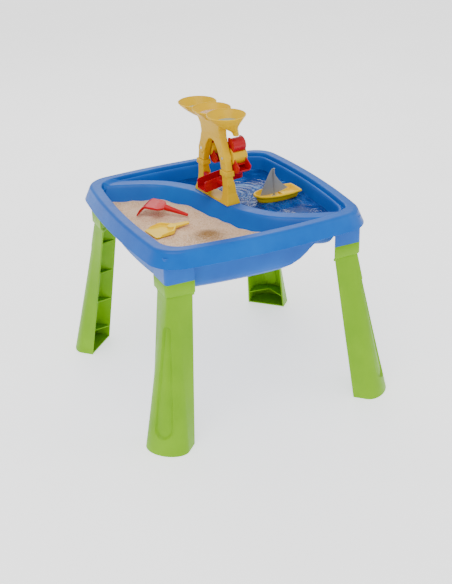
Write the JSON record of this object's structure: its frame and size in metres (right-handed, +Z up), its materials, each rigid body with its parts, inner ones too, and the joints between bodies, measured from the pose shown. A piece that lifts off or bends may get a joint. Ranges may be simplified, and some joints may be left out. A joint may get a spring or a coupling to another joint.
{
  "type": "sand and water table",
  "caption": "Square play table with sand and water basins, four splayed legs, a funnel tower with water wheels and a chute, boat, rake and shovel.",
  "frame": {"origin": "centre of the footprint on the floor under the four feet", "axes": "+Z up; the tray's sides run along X and Y; the sand basin fills the -X -Y side and the water basin the +X +Y side"},
  "size_m": [0.6222, 0.6222, 0.6699],
  "materials": {
    "tray_plastic": "satin moulded plastic",
    "leg_plastic": "satin moulded plastic",
    "tower_plastic": "glossy moulded plastic",
    "red_plastic": "glossy moulded plastic",
    "pin_steel": "bright pin",
    "sail_plastic": "matte moulded sheet",
    "sand": "dry play sand",
    "plug_rubber": "soft rubber",
    "toy_yellow": "glossy moulded plastic",
    "toy_red": "glossy moulded plastic"
  },
  "bodies": {
    "table": {"tray": "tray_plastic", "leg_front": "leg_plastic", "leg_right": "leg_plastic", "leg_back": "leg_plastic", "leg_left": "leg_plastic", "leg_screws": "pin_steel", "tower_base": "tower_plastic", "tower_top": "tower_plastic", "chute": "red_plastic", "chute_pin": "tower_plastic", "axle_left": "pin_steel", "axle_right": "pin_steel", "sand_fill": "sand", "drain_plug": "plug_rubber"},
    "wheel_left": {"hub_left": "tower_plastic", "hub_cap_left": "tower_plastic", "scoops_left": "red_plastic"},
    "wheel_right": {"hub_right": "tower_plastic", "hub_cap_right": "tower_plastic", "scoops_right": "red_plastic"},
    "boat": {"boat_hull": "toy_yellow", "boat_sail": "sail_plastic"},
    "rake": {"rake": "toy_red"},
    "shovel": {"shovel": "toy_yellow"}
  },
  "joints": [
    {"name": "wheel_left_spin", "type": "hinge", "parent": "table", "child": "wheel_left", "pos_m": [-0.00261, 0.06166, 0.563], "axis": [0.9925, 0.1219, 0], "continuous": true},
    {"name": "wheel_right_spin", "type": "hinge", "parent": "table", "child": "wheel_right", "pos_m": [0.00861, -0.02966, 0.563], "axis": [0.9925, 0.1219, 0], "continuous": true},
    {"name": "boat_lift", "type": "slide", "parent": "table", "child": "boat", "axis": [0, 0, 1], "range_m": [0, 0.25]},
    {"name": "rake_lift", "type": "slide", "parent": "table", "child": "rake", "axis": [0, 0, 1], "range_m": [0, 0.25]},
    {"name": "shovel_lift", "type": "slide", "parent": "table", "child": "shovel", "axis": [0, 0, 1], "range_m": [0, 0.25]}
  ]
}
